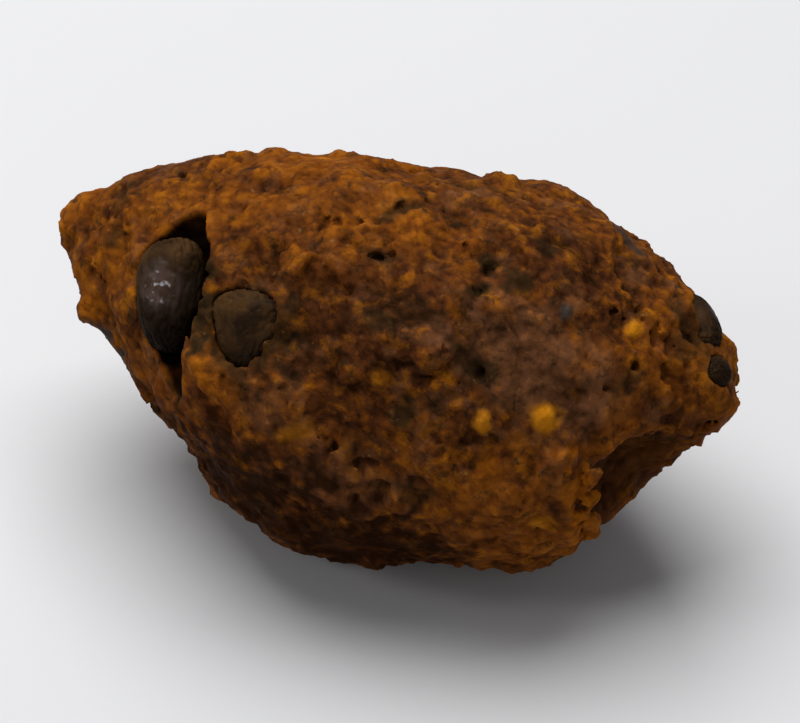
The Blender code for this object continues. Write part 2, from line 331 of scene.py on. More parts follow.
# Colours of the crust along its tone, from dark to light
CRUST_COLOURS = {
    "plain": (
        (0.00, (0.018, 0.0058, 0.0018)),
        (0.25, (0.044, 0.0135, 0.0044)),
        (0.50, (0.088, 0.0260, 0.0058)),
        (0.75, (0.150, 0.0430, 0.0046)),
        (1.00, (0.245, 0.0780, 0.0050)),
    ),
    "rust": (
        (0.00, (0.052, 0.0135, 0.0022)),
        (0.50, (0.170, 0.0460, 0.0034)),
        (1.00, (0.340, 0.1080, 0.0060)),
    ),
    "plum": ((0.0, (0.040, 0.0152, 0.0060)), (1.0, (0.165, 0.0660, 0.0280))),
    "amber": ((0.0, (0.090, 0.0260, 0.0020)), (1.0, (0.350, 0.1150, 0.0040))),
    "gold": ((0.0, (0.270, 0.0820, 0.0030)), (1.0, (0.620, 0.2350, 0.0090))),
    # Dark burnt colour, also used as painted shade in clefts and hollows
    "char_and_shade": ((0.0, (0.012, 0.0065, 0.0026)), (1.0, (0.046, 0.0235, 0.0085))),
    "shaded": ((0.0, (0.018, 0.0058, 0.0016)), (1.0, (0.075, 0.0240, 0.0045))),
    "cream": ((0.0, (0.160, 0.0800, 0.0200)), (1.0, (0.360, 0.2100, 0.0800))),
    "skin": ((0.0, (0.010, 0.0068, 0.0052)), (1.0, (0.042, 0.0280, 0.0210))),
}
# Painted shade: near-black for the narrow gaps beside the beans
GAP_SHADE_COLOUR = (0.0060, 0.0024, 0.0010, 1)

# Colours of a bean's skin along its tone, the painted sheen of its wet middle, and its painted glints
BEAN_COLOURS = (
    (0.00, (0.0070, 0.0036, 0.0022)),
    (0.50, (0.0200, 0.0102, 0.0046)),
    (1.00, (0.0600, 0.0280, 0.0085)),
)
WET_SHEEN_COLOUR = (0.064, 0.038, 0.028, 1)
PAINTED_GLINT_COLOUR = (0.30, 0.27, 0.29, 1)

# The stage: the floor, the soft lights as place, size and power, and the surround
FLOOR_SIZE = 2.0
FLOOR_DROP = 0.0002
FLOOR_COLOUR = (0.60, 0.60, 0.61, 1)
LIGHTS = {
    "key": ((-0.08, 0.10, 0.44), 0.42, 3.0),
    "fill": ((0.20, -0.40, 0.30), 0.30, 0.2),
    "window": ((-0.37, -0.21, 0.25), 0.10, 0.3),
}
SURROUND_COLOUR = (0.95, 0.97, 1.0, 1)
SURROUND_STRENGTH = 0.17

# The camera, from above the front with the right end nearer
CAMERA_TURN = math.radians(18)
CAMERA_HEIGHT = math.radians(42)
CAMERA_DISTANCE = 0.42
CAMERA_LENS = 228.0
CAMERA_AIM = Vector((0.0007, 0.0, 0.0168 - FLAT_SPOT_DEPTH)) - MIDDLE


def half_length(side):
    """From the thickest section to the left tip (side -1) or the right tip (side 1)."""
    return LENGTH / 2 - side * BELLY_X


def ends(side):
    """Radius of the blunt tip on one side, and how full the form stays on its way there."""
    return (LEFT_TIP_RADIUS, LEFT_FULLNESS) if side < 0 else (RIGHT_TIP_RADIUS, RIGHT_FULLNESS)


def section(run, side):
    """How far a section lies from the thickest one, and its radius; run is 0 there and 1 at the tip."""
    half = half_length(side)
    tip_radius, fullness = ends(side)
    straight = half - TIP_ROUNDING
    turn = max(0.0, run - ROUNDING_START) / (1 - ROUNDING_START) * math.pi / 2
    reach = straight * min(run, ROUNDING_START) / ROUNDING_START + TIP_ROUNDING * math.sin(turn)
    bend = math.acos(tip_radius / (THICKNESS / 2))
    radius = THICKNESS / 2 * math.cos(bend * (reach / half) ** fullness) * math.cos(turn)
    return reach, radius


def form_point(along, around):
    """A point of the smooth form; along runs from -1 at the left tip to 1 at the right."""
    side = -1 if along < 0 else 1
    reach, radius = section(abs(along), side)
    share = (reach / half_length(side)) ** 2
    lift = share * (LEFT_TIP_LIFT if side < 0 else RIGHT_TIP_LIFT)
    lean = share * LEFT_FACE_LEAN * radius * math.cos(around - LIFT_TURN) if side < 0 else 0.0
    return Vector((
        BELLY_X + side * reach - lean,
        -lift * math.sin(LIFT_TURN) - radius * math.sin(around),
        THICKNESS / 2 - FLAT_SPOT_DEPTH + lift * math.cos(LIFT_TURN) + radius * math.cos(around),
    ))


def outward(along, around):
    """The direction square to the smooth form."""
    step = 0.01
    inner = min(max(along, -1 + 2 * step), 1 - 2 * step)
    lengthways = form_point(inner + step, around) - form_point(inner - step, around)
    crossways = form_point(inner, around + step) - form_point(inner, around - step)
    return crossways.cross(lengthways).normalized()


def relief(point):
    """How far the lumps lift the crust at a point of the smooth form."""
    return sum(height * noise.noise(point / width + LUMPS_SEED) for width, height in LUMPS)


def crust_point(along, around):
    """A point of the lumpy crust, in the dough's own frame."""
    point = form_point(along, around)
    return point + outward(along, around) * relief(point)


def along_at(x):
    """The value of along for a distance x from the middle of the length."""
    side = -1 if x < BELLY_X else 1
    reach = abs(x - BELLY_X)
    straight = half_length(side) - TIP_ROUNDING
    into_tip = math.asin(max(0.0, reach - straight) / TIP_ROUNDING) / (math.pi / 2)
    return side * (ROUNDING_START * min(reach / straight, 1.0) + (1 - ROUNDING_START) * into_tip)


def seat(x, around, turn):
    """A frame on the crust: its X runs along the dough, turned by 'turn' degrees, and its Z points out."""
    along = along_at(x)
    angle = math.radians(around)
    out = outward(along, angle)
    across = out.cross(Vector((1, 0, 0))).normalized()
    place = Matrix((across.cross(out), across, out)).transposed().to_4x4()
    place.translation = crust_point(along, angle) - MIDDLE
    return place @ Matrix.Rotation(math.radians(turn), 4, "Z")


def scattered_crumbs():
    """Where the larger crumbs lie, how large they are and how far they stand out."""
    draw = random.Random(CRUMB_SEED)
    crumbs = []
    while len(crumbs) < CRUMBS:
        x = draw.uniform(-CRUMB_REACH, CRUMB_REACH)
        around = draw.uniform(-180, 180)
        length = draw.uniform(*CRUMB_LENGTH)
        shape = (length, length * draw.uniform(0.55, 0.9), length * 0.6)
        proud = draw.uniform(*CRUMB_PROUD)
        turn = draw.uniform(0, 180)
        if abs(around) < 180 - FLAT_SPOT_CLEARANCE:
            crumbs.append({"x": x, "around": around, "turn": turn, "size": shape, "proud": proud})
    return crumbs


def loft():
    """Points and faces of the dense lumpy form."""
    points = []
    for ring in range(1, RINGS):
        along = 2 * ring / RINGS - 1
        points += [crust_point(along, 2 * math.pi * step / RING_POINTS) for step in range(RING_POINTS)]
    points += [form_point(-1, 0), form_point(1, 0)]
    step = np.arange(RING_POINTS)
    after = (step + 1) % RING_POINTS
    quads = [
        np.stack([row + step, row + after, row + RING_POINTS + after, row + RING_POINTS + step], axis=1)
        for row in range(0, (RINGS - 2) * RING_POINTS, RING_POINTS)
    ]
    last = (RINGS - 2) * RING_POINTS
    left_tip = np.full(RING_POINTS, len(points) - 2)
    right_tip = np.full(RING_POINTS, len(points) - 1)
    triangles = np.concatenate([
        np.stack([left_tip, after, step], axis=1),
        np.stack([right_tip, last + step, last + after], axis=1),
    ])
    shifted = np.array([tuple(point - MIDDLE) for point in points], np.float32)
    return shifted, np.concatenate(quads).astype(np.uint32), triangles.astype(np.uint32)


def noise_at(points, width, seed):
    """Smooth noise, about -0.5 to 0.5, at each point; width is the size of one lump."""
    scaled = points / width + np.array([seed, seed * 1.7, seed * 0.6])
    return np.array([noise.noise(place) for place in scaled.tolist()])


def cells_at(points, width, seed):
    """How far each point is from its cell's border, in cell widths, and a number drawn for its cell."""
    scaled = points / width + np.array([seed, seed * 0.4, seed * 1.3])
    found = [noise.voronoi(place) for place in scaled.tolist()]
    border = np.array([distances[1] - distances[0] for distances, places in found])
    drawn = np.array([noise.cell(places[0] * 97.0) for distances, places in found])
    return border, drawn


class Field:
    """Signed distances to the crust on a regular lattice, in metres and negative inside."""

    def __init__(self, points, quads, triangles):
        reach = BAND_VOXELS * VOXEL
        self.start = np.floor((points.min(axis=0) - reach) / VOXEL).astype(int)
        stop = np.ceil((points.max(axis=0) + reach) / VOXEL).astype(int)
        self.values = np.empty(stop - self.start, np.float32)
        grid = openvdb.FloatGrid.createLevelSetFromPolygons(
            points, triangles, quads, openvdb.createLinearTransform(VOXEL), float(BAND_VOXELS)
        )
        grid.copyToArray(self.values, tuple(self.start.tolist()))
        self.form = self.values.copy()

    def window(self, centre, reach):
        """The slices of the lattice within reach of a place, and the positions in them."""
        low = np.floor((np.array(centre) - reach) / VOXEL).astype(int) - self.start
        high = np.ceil((np.array(centre) + reach) / VOXEL).astype(int) - self.start + 1
        low = np.clip(low, 0, self.values.shape)
        high = np.clip(high, 0, self.values.shape)
        slices = tuple(slice(a, b) for a, b in zip(low, high))
        axes = [(np.arange(a, b) + first) * VOXEL for a, b, first in zip(low, high, self.start)]
        return slices, np.stack(np.meshgrid(*axes, indexing="ij"), axis=-1)

    def add(self, place, size, seed, distort, blend=BLEND):
        """Fuses a rough lump on, softened where it meets the rest."""
        slices, points = self.window(place.translation, max(size) * 0.65 + blend)
        lump = lump_distance(points, place, size, seed, distort)
        there = self.values[slices]
        share = np.clip(0.5 + 0.5 * (there - lump) / blend, 0, 1)
        self.values[slices] = there + (lump - there) * share - blend * share * (1 - share)

    def cut(self, place, size, seed, distort, blend=CUT_BLEND):
        """Takes a rough lump away, with its rim a little rounded."""
        slices, points = self.window(place.translation, max(size) * 0.65 + blend)
        self.carve(slices, lump_distance(points, place, size, seed, distort), blend)

    def carve(self, slices, shape, blend):
        """Takes away what lies inside a shape, given by its distances."""
        there = self.values[slices]
        share = np.clip(0.5 - 0.5 * (there + shape) / blend, 0, 1)
        self.values[slices] = there + (-shape - there) * share + blend * share * (1 - share)

    def trim(self, radius, leeway):
        """Takes away fins that are thin for that many voxels."""
        self.values = np.maximum(self.values, (self.blurred(radius, 1) - leeway).astype(np.float32))

    def displace(self, height, width):
        """Lifts all within width of the surface by height(points, depth), less where distances are flat."""
        near = np.abs(self.values) < width
        points = (np.argwhere(near) + self.start) * VOXEL
        steepness = np.sqrt(sum(slope[near] ** 2 for slope in np.gradient(self.values, VOXEL)))
        lifted = height(points, -self.form[near]) * np.minimum(steepness, 1)
        self.values[near] -= lifted.astype(np.float32)

    def blurred(self, radius, passes=2):
        """The distances averaged over boxes of that many voxels each way."""
        values = self.values.astype(np.float64)
        for axis in (0, 1, 2) * passes:
            margins = [(radius + 1, radius) if n == axis else (0, 0) for n in range(3)]
            padded = np.pad(values, margins, "edge")
            total = np.cumsum(padded, axis=axis)
            count = values.shape[axis]
            high = np.take(total, np.arange(2 * radius + 1, 2 * radius + 1 + count), axis=axis)
            low = np.take(total, np.arange(0, count), axis=axis)
            values = (high - low) / (2 * radius + 1)
        return values

    def sample(self, values, points):
        """A lattice of values read at any points, by trilinear interpolation."""
        place = points / VOXEL - self.start
        corner = np.floor(place).astype(int)
        part = place - corner
        result = np.zeros(len(points))
        for offset in np.ndindex(2, 2, 2):
            weight = np.prod(np.where(offset, part, 1 - part), axis=1)
            result += weight * values[tuple((corner + offset).T)]
        return result

    def cut_flat_spot(self):
        """Takes away what lies below Z = 0."""
        heights = (np.arange(self.values.shape[2]) + self.start[2]) * VOXEL
        self.values = np.maximum(self.values, -heights.astype(np.float32))

    def surface(self):
        """Points and four-sided faces of the surface."""
        grid = openvdb.FloatGrid(BAND_VOXELS * VOXEL)
        grid.copyFromArray(self.values, tuple(self.start.tolist()))
        grid.transform = openvdb.createLinearTransform(VOXEL)
        points, _, quads = grid.convertToPolygons(0.0, 0.0)
        return points.astype(np.float64), quads.astype(int)


def lump_distance(points, place, size, seed, distort):
    """About how far each point is from a rough ellipsoid with its Z out of the crust."""
    rotation = np.array(place.to_3x3())
    local = (points - np.array(place.translation)) @ rotation
    half = np.array(size) / 2
    scaled = local / half
    length = np.maximum(np.linalg.norm(scaled, axis=-1), 1e-6)
    steep = np.maximum(np.linalg.norm(scaled / half, axis=-1), 1e-6)
    direction = (scaled / length[..., None]).reshape(-1, 3) * 0.5 * LUMP_NOISE + np.array([seed, 0, 0])
    bumps = np.array([noise.noise(way) for way in direction.tolist()]).reshape(length.shape)
    return (length / (1 + distort * bumps) - 1) * length / steep


def bean_place(spec):
    """Where a bean lies: sunk into its seat."""
    return seat(spec["x"], spec["around"], spec["turn"]) @ Matrix.Translation((0, 0, -spec["depth"]))


def bean_distance(points, spec):
    """About how far each point is from the bean's skin."""
    place = bean_place(spec)
    local = (points - np.array(place.translation)) @ np.array(place.to_3x3())
    half = np.array(spec["size"]) / 2
    along = local[..., 0] / half[0]
    local[..., 1] -= spec["bend"] * spec["size"][0] * (0.5 - along ** 2)
    narrow = np.clip(1 - spec["taper"] * along, 0.5, 1.5)
    across = local[..., 1] / half[1] / narrow
    upward = local[..., 2] / half[2] / narrow
    level = np.abs(along) ** BEAN_FULLNESS + across ** 2 + upward ** 2 - 1
    steep = np.hypot(BEAN_FULLNESS * np.abs(along) ** (BEAN_FULLNESS - 1) / half[0], 2 * across / half[1])
    steep = np.maximum(np.hypot(steep, 2 * upward / half[2]), 1 / half[1])
    return level / steep


def sunk(place, size, proud):
    """A seat moved inwards, so that a lump of that size stands 'proud' out of the crust."""
    return place @ Matrix.Translation((0, 0, proud - size[2] / 2))


def lump_place(spec):
    """Where a lump of one of the lists lies."""
    return sunk(seat(spec["x"], spec["around"], spec["turn"]), spec["size"], spec["proud"])


def random_seat(draw, end=0.94):
    """A random place on the crust, turned at random."""
    along = draw.uniform(-end, end)
    side = -1 if along < 0 else 1
    x = BELLY_X + side * section(abs(along), side)[0]
    return seat(x, draw.uniform(-180, 180), draw.uniform(0, 360))


def add_small_crumbs(field, draw):
    """Grains and small crumbs, half sunk in the dough."""
    for number in range(SMALL_CRUMBS):
        length = SMALL_CRUMB_LENGTH[0] + SMALL_CRUMB_LENGTH[1] * draw.random() ** 2
        size = (length, length * draw.uniform(0.5, 0.9), length * draw.uniform(0.45, 0.75))
        place = sunk(random_seat(draw), size, size[2] * draw.uniform(0.03, 0.24))
        field.add(place, size, SEEDS["crumb"] + number, ROUGHNESS["crumb"])


def add_flakes(field, draw):
    """Thin flakes of bean skin that lie nearly flat, one edge a little lifted."""
    for number in range(FLAKES):
        length = draw.uniform(*FLAKE_LENGTH)
        size = (length, length * draw.uniform(0.4, 0.7), FLAKE_THICKNESS)
        tilt = Matrix.Rotation(math.radians(draw.uniform(2, 9)), 4, "Y")
        place = random_seat(draw) @ tilt @ Matrix.Translation((0, 0, -FLAKE_SINK))
        field.add(place, size, SEEDS["flake"] + number, ROUGHNESS["flake"])


def add_rim_crumbs(field, draw):
    """A row of crumbs along the crag's broken edge."""
    for number in range(RIM_CRUMBS):
        around = RIM_AROUND[0] + (RIM_AROUND[1] - RIM_AROUND[0]) * number / RIM_CRUMBS
        length = draw.uniform(*RIM_CRUMB_LENGTH)
        size = (length, length * draw.uniform(0.6, 0.9), length * 0.8)
        place = seat(RIM_X + draw.uniform(-0.0007, 0.0004), around, draw.uniform(0, 180))
        lifted = Matrix.Translation((0, 0, draw.uniform(0.0002, 0.0011)))
        field.add(place @ lifted, size, SEEDS["rim"] + number, ROUGHNESS["crumb"])


def cut_pits(field, draw):
    """Small ragged holes that steam has left: each is one to three that overlap."""
    for number in range(PITS):
        width = PIT_WIDTH[0] + PIT_WIDTH[1] * draw.random() ** 2
        place = random_seat(draw)
        for part in range(draw.choice((1, 2, 2, 3))):
            size = [width * draw.uniform(*share) for share in ((1, 1.7), (0.7, 1), (0.7, 1.3))]
            aside = Matrix.Translation((width * draw.uniform(-0.8, 0.8), width * draw.uniform(-0.8, 0.8), 0))
            turned = aside @ Matrix.Rotation(draw.uniform(0, math.pi), 4, "Z")
            field.cut(place @ turned, size, SEEDS["pit"] + 3 * number + part, ROUGHNESS["pit"])


def cut_clefts(field):
    """Narrow clefts between pressed lumps of dough."""
    for number, (x, around, turn, length, width) in enumerate(CLEFTS):
        size = (length, width, CLEFT_DEPTH)
        field.cut(seat(x, around, turn), size, SEEDS["cleft"] + number, ROUGHNESS["cleft"])


def cut_sockets(field):
    """Makes room for the beans."""
    for spec in BEANS.values():
        centre = seat(spec["x"], spec["around"], spec["turn"]).translation
        slices, points = field.window(centre, max(spec["size"]))
        field.carve(slices, bean_distance(points, spec) + SOCKET_OVERLAP, SOCKET_BLEND)


def crumbs_at(points):
    """How far each point is from its packed crumb's border, and a number drawn for that crumb."""
    width, reach = CRUMB_WARP
    warp = np.stack([noise_at(points, width, seed) for seed in (1.3, 5.1, 9.7)], axis=1) * reach
    return cells_at(points + warp, CRUMB_WIDTH, 2.0)


def grain(points, depth):
    """Height of the fine grain: crumbs packed together, finer roughness, and torn dough where it is deep."""
    border, drawn = crumbs_at(points)
    packed = np.minimum(border, CRUMB_EDGE) / CRUMB_EDGE
    height = CRUMB_HEIGHT * (np.sqrt(packed) - 0.8) + CRUMB_STEP * drawn
    for stretch, width, seed, share in GRAIN_LAYERS:
        height = height + share * noise_at(points * stretch, width, seed)
    broad = 0.5 + noise_at(points, GRAIN_SWELL, 12.0)
    crusty = np.clip(broad * 1.6 - 0.2, 0.4, 1.0) + 0.5 * np.clip(depth / TORN_DEPTH, 0, 1)
    return crusty * height


def crust_field():
    """The whole crust as distances, with its crumbs, pits, sockets and flat spot."""
    field = Field(*loft())
    draw = random.Random(DETAIL_SEED)
    for number, spec in enumerate([*CRAGS, *scattered_crumbs()]):
        blend = CRAG_BLEND if number < len(CRAGS) else BLEND
        field.add(lump_place(spec), spec["size"], number, ROUGHNESS["crag"], blend)
    add_small_crumbs(field, draw)
    add_flakes(field, draw)
    for number, (spec, blend) in enumerate(zip(HOLLOWS, HOLLOW_BLENDS)):
        field.cut(lump_place(spec), spec["size"], number, ROUGHNESS["crag"], blend)
    add_rim_crumbs(field, draw)
    cut_pits(field, draw)
    cut_clefts(field)
    cut_sockets(field)
    field.trim(*COARSE_TRIM)
    field.displace(grain, GRAIN_REACH)
    field.trim(*FINE_TRIM)
    for number, spec in enumerate(KERNELS):
        field.add(lump_place(spec), spec["size"], SEEDS["kernel"] + number, ROUGHNESS["kernel"])
    cut_sockets(field)
    field.cut_flat_spot()
    return field


def mesh_object(name, points, faces):
    """A smooth-shaded object from points and faces."""
    mesh = bpy.data.meshes.new(name)
    mesh.from_pydata(points.tolist(), [], faces)
    mesh.shade_smooth()
    made = bpy.data.objects.new(name, mesh)
    bpy.context.scene.collection.objects.link(made)
    return made


def largest_piece(points, faces):
    """Drops whatever has come loose from the main surface."""
    label = np.arange(len(points))
    edges = np.concatenate([faces[:, [n, (n + 1) % faces.shape[1]]] for n in range(faces.shape[1])])
    changed = True
    while changed:
        before = label.copy()
        lowest = np.minimum(label[edges[:, 0]], label[edges[:, 1]])
        np.minimum.at(label, edges[:, 0], lowest)
        np.minimum.at(label, edges[:, 1], lowest)
        label = label[label]
        changed = bool((label != before).any())
    main = np.bincount(label).argmax()
    kept = label == main
    number = np.cumsum(kept) - 1
    return points[kept], number[faces[kept[faces[:, 0]]]]


def without_spikes(points, quads):
    """Draws points that stick out sharply back towards the middle of their neighbours."""
    for _ in range(2):
        total = np.zeros_like(points)
        count = np.zeros(len(points))
        for corner, other in ((0, 1), (1, 2), (2, 3), (3, 0)):
            for here, there in ((quads[:, corner], quads[:, other]), (quads[:, other], quads[:, corner])):
                np.add.at(total, here, points[there])
                np.add.at(count, here, 1)
        inward = total / count[:, None] - points
        share = 0.7 * np.clip(np.linalg.norm(inward, axis=1) / SPIKE - 1, 0, 1)
        points = points + inward * share[:, None]
    return points


def add_attribute(mesh, name, values):
    """Stores one number for each point of the mesh."""
    layer = mesh.attributes.new(name, "FLOAT", "POINT")
    layer.data.foreach_set("value", np.asarray(values, np.float32))


def facing_out(points, quads):
    """The faces, turned over if they face inwards."""
    corner = points[quads[:, 0]]
    across = np.cross(points[quads[:, 1]] - corner, points[quads[:, 2]] - corner)
    return quads[:, ::-1] if (corner * across).sum() < 0 else quads


def crust():
    """The crust as a mesh, with what the colours read stored at its points."""
    field = crust_field()
    points, quads = largest_piece(*field.surface())
    points = without_spikes(points, quads)
    made = mesh_object("crust", points, facing_out(points, quads).tolist())
    store_relief(made.data, field, points)
    ragged = sum(share * noise_at(points, width, seed) for width, seed, share in RAGGED_LAYERS)
    for kind, patches in PATCHES.items():
        add_attribute(made.data, kind, patch_mask(points, patches, ragged))
    return made


def store_relief(mesh, field, points):
    """Stores where the crests, hollows, deep places, gaps and packed crumbs are; the first four carry
    painted light and shade.
    """
    crest = field.sample(field.blurred(1), points) / CREST_HEIGHT
    hollow = field.sample(field.blurred(4), points) / HOLLOW_DEPTH
    add_attribute(mesh, "crest", np.clip(0.5 + 0.5 * crest, 0, 1))
    add_attribute(mesh, "hollow", np.clip(0.5 + 0.5 * hollow, 0, 1))
    depth = -field.sample(field.form, points)
    add_attribute(mesh, "deep", np.clip((depth - DEEP[0]) / (DEEP[1] - DEEP[0]), 0, 1))
    add_attribute(mesh, "gap_shade", gap_shade_at(points, depth))
    border, drawn = crumbs_at(points)
    add_attribute(mesh, "crumb", 0.5 + 0.5 * drawn)
    add_attribute(mesh, "seam", np.clip(1 - border / SEAM_WIDTH, 0, 1))


def gap_shade_at(points, depth):
    """How far each point lies inside the narrow gaps beside the beans, 0 to 1, where near-black shade is
    painted.
    """
    away = [bean_distance(points, spec) for name, spec in BEANS.items() if name != "bean_split"]
    for number, spec in enumerate(HOLLOWS[:GAP_HOLLOWS]):
        hollow = lump_distance(points, lump_place(spec), spec["size"], number, ROUGHNESS["crag"])
        away.append(hollow + GAP_INSET)
    beside = np.clip(1.6 - np.min(away, axis=0) / GAP_WIDTH, 0, 1)
    return beside * np.clip(depth / GAP_DEPTH - 0.2, 0, 1)


def patch_mask(points, patches, ragged):
    """How strongly each point belongs to the patches, 0 to 1, with ragged edges."""
    mask = np.zeros(len(points))
    for x, around, turn, length, width, strength in patches:
        place = seat(x, around, turn)
        local = (points - np.array(place.translation)) @ np.array(place.to_3x3())
        away = np.linalg.norm(local / (length / 2, width / 2, PATCH_THICKNESS), axis=1) + ragged * 0.9
        mask = np.maximum(mask, strength * np.clip((1.35 - away) / 0.7, 0, 1))
    return mask


def wrinkled_bean(spec, wrinkled):
    """A bean in its own frame: blunt-ended, bent and tapered along its length, with a wrinkled skin."""
    bm = bmesh.new()
    round_it, along_it = BEAN_FACETS
    bmesh.ops.create_uvsphere(bm, u_segments=round_it, v_segments=along_it, radius=0.5)
    bmesh.ops.rotate(bm, verts=bm.verts, matrix=Matrix.Rotation(math.pi / 2, 3, "Y"))
    size = spec["size"]
    for vertex in bm.verts:
        way = vertex.co.copy()
        swell = noise.noise(way * 3.0 + Vector((spec["x"] * 1000, 0, 0))) * 0.05
        folds = abs(noise.noise(Vector((way.x * 4, way.y * 9, way.z * 9)) + Vector((7, spec["x"] * 900, 0))))
        creases = 0.05 * max(0.0, 0.16 - folds) / 0.16 + 0.02 * abs(noise.noise(way * 11.0))
        shrink = 0.985 + swell - wrinkled * creases
        along = max(-0.999, min(way.x * 2, 0.999))
        fuller = math.sqrt((1 - abs(along) ** BEAN_FULLNESS) / (1 - along ** 2))
        fuller *= 1 - spec["taper"] * along
        bend = spec["bend"] * size[0] * (0.5 - along ** 2)
        sides = way.y * size[1] * fuller * shrink, way.z * size[2] * fuller * shrink
        vertex.co = Vector((way.x * size[0] * shrink, sides[0] + bend, sides[1]))
    return bm


def bean_object(name, spec):
    """A bean in its socket, with how pale and how wet it is stored at its points; the wet middle and one
    paler side carry painted sheen.
    """
    upper, lower, wetness_and_sheen, wrinkled = BEAN_LOOKS[name]
    bm = wrinkled_bean(spec, wrinkled)
    place = bean_place(spec)
    bmesh.ops.transform(bm, matrix=place, verts=bm.verts)
    mesh = bpy.data.meshes.new(name)
    bm.to_mesh(mesh)
    bm.free()
    mesh.shade_smooth()
    local = np.array([place.inverted() @ vertex.co for vertex in mesh.vertices]) / np.array(spec["size"]) * 2
    # Painted sheen: the skin is paler towards the bean's -Y side
    paler_sheen = 0.35 * np.clip(-local[:, 1], 0, 1)
    add_attribute(mesh, "tone", upper + (lower - upper) * np.clip(0.5 + 0.8 * local[:, 0], 0, 1) + paler_sheen)
    middle = np.hypot((local[:, 0] + 0.10) / 0.38, (local[:, 1] - 0.34) / 0.52)
    add_attribute(mesh, "wet_and_sheen", wetness_and_sheen * np.clip(1.4 - middle, 0, 1))
    made = bpy.data.objects.new(f"{name}_skin", mesh)
    bpy.context.scene.collection.objects.link(made)
    return made


def add_node(tree, kind, values=None, **settings):
    """A node with its settings and the values of its inputs."""
    made = tree.nodes.new(kind)
    for name, value in settings.items():
        setattr(made, name, value)
    for name, value in (values or {}).items():
        if isinstance(value, bpy.types.NodeSocket):
            tree.links.new(value, made.inputs[name])
        else:
            made.inputs[name].default_value = value
    return made


def noise_node(tree, place, scale, detail=4.0, rough=0.6, distortion=0.0):
    """Fractal noise, 0 to 1."""
    values = {"Vector": place, "Scale": scale, "Detail": detail, "Roughness": rough}
    return add_node(tree, "ShaderNodeTexNoise", {**values, "Distortion": distortion}).outputs["Fac"]


def sums(tree, kind, first, second):
    """Two numbers combined by one sum."""
    return add_node(tree, "ShaderNodeMath", {0: first, 1: second}, operation=kind).outputs[0]


def spread(tree, value, low, high, to_low=0.0, to_high=1.0):
    """A value moved from one range to another, and held inside it."""
    names = {"Value": value, "From Min": low, "From Max": high, "To Min": to_low, "To Max": to_high}
    return add_node(tree, "ShaderNodeMapRange", names).outputs["Result"]


def mixed(tree, share, first, second):
    """Two colours mixed."""
    made = add_node(tree, "ShaderNodeMix", data_type="RGBA")
    for socket, value in ((0, share), (6, first), (7, second)):
        if isinstance(value, bpy.types.NodeSocket):
            tree.links.new(value, made.inputs[socket])
        else:
            made.inputs[socket].default_value = value
    return made.outputs[2]


def ramp(tree, value, stops):
    """A run of colours along a value."""
    made = add_node(tree, "ShaderNodeValToRGB", {"Fac": value})
    elements = made.color_ramp.elements
    while len(elements) < len(stops):
        elements.new(0.5)
    for element, (position, colour) in zip(elements, stops):
        element.position = position
        element.color = (*colour, 1)
    return made.outputs["Color"]


def attribute(tree, name):
    """A number stored at the mesh's points."""
    return add_node(tree, "ShaderNodeAttribute", attribute_name=name).outputs["Fac"]


def empty_material(name):
    """A material with its shader, and the tree and place that its nodes start from."""
    made = bpy.data.materials.new(name)
    made.use_nodes = True
    tree = made.node_tree
    shader = tree.nodes["Principled BSDF"]
    place = add_node(tree, "ShaderNodeTexCoord").outputs["Object"]
    return made, tree, shader, place


def crust_tone(tree, place, grains, bits):
    """How light the crust is: blotches, seams and single bits, painted light on raised crests, painted shade
    in creases and hollows, and broad patches of painted shade.
    """
    blotches = noise_node(tree, place, 260, 5.0, 0.68, 0.6)
    bit_tone = add_node(tree, "ShaderNodeSeparateColor", {"Color": bits.outputs["Color"]}).outputs["Red"]
    tone = spread(tree, blotches, 0.3, 0.72, 0.22, 0.64)
    # Painted light on fine crests, painted shade in fine creases and in hollows
    tone = sums(tree, "ADD", tone, spread(tree, attribute(tree, "crest"), 0, 1, -0.08, 0.08))
    tone = sums(tree, "ADD", tone, spread(tree, attribute(tree, "hollow"), 0, 1, -0.12, 0.12))
    tone = sums(tree, "ADD", tone, spread(tree, grains, 0.3, 0.7, -0.08, 0.08))
    tone = sums(tree, "ADD", tone, spread(tree, attribute(tree, "crumb"), 0, 1, -0.11, 0.15))
    tone = sums(tree, "ADD", tone, spread(tree, attribute(tree, "seam"), 0, 1, 0.05, -0.15))
    tone = sums(tree, "ADD", tone, spread(tree, bit_tone, 0, 1, -0.05, 0.06))
    # Painted shade: broad patches that lower the tone
    return sums(tree, "ADD", tone, spread(tree, attribute(tree, "painted_shade"), 0, 1, 0.06, -0.46))


